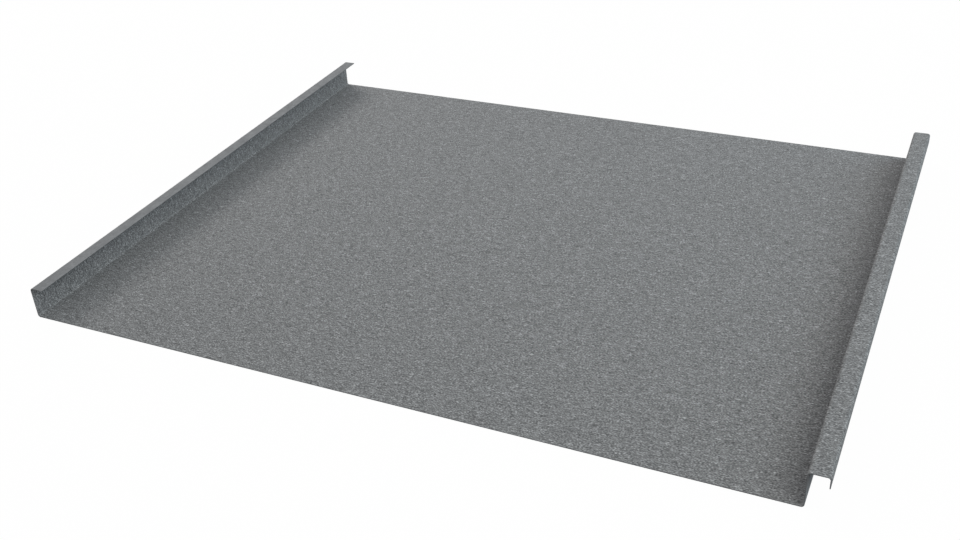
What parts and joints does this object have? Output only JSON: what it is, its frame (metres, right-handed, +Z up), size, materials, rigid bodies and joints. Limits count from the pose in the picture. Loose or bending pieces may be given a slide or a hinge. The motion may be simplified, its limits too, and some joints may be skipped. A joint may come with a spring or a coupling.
{
  "type": "standing seam roof panel",
  "caption": "Roll-formed roofing sheet with a flat pan and a folded seam leg along each side, so that neighbouring panels hook together.",
  "frame": {"origin": "centre of the flat pan's underside, midway between the outer faces of the two legs and between the two ends", "axes": "+X across the pan towards the over seam, +Y along the seams, +Z up from the pan"},
  "size_m": [0.5522, 0.442, 0.025],
  "materials": {
    "coated_steel": "matt mottled blue-grey coat on the weather side, smooth plain grey backing coat, bare cut edges"
  },
  "bodies": {
    "root": {"roof_panel": "coated_steel"}
  },
  "joints": []
}
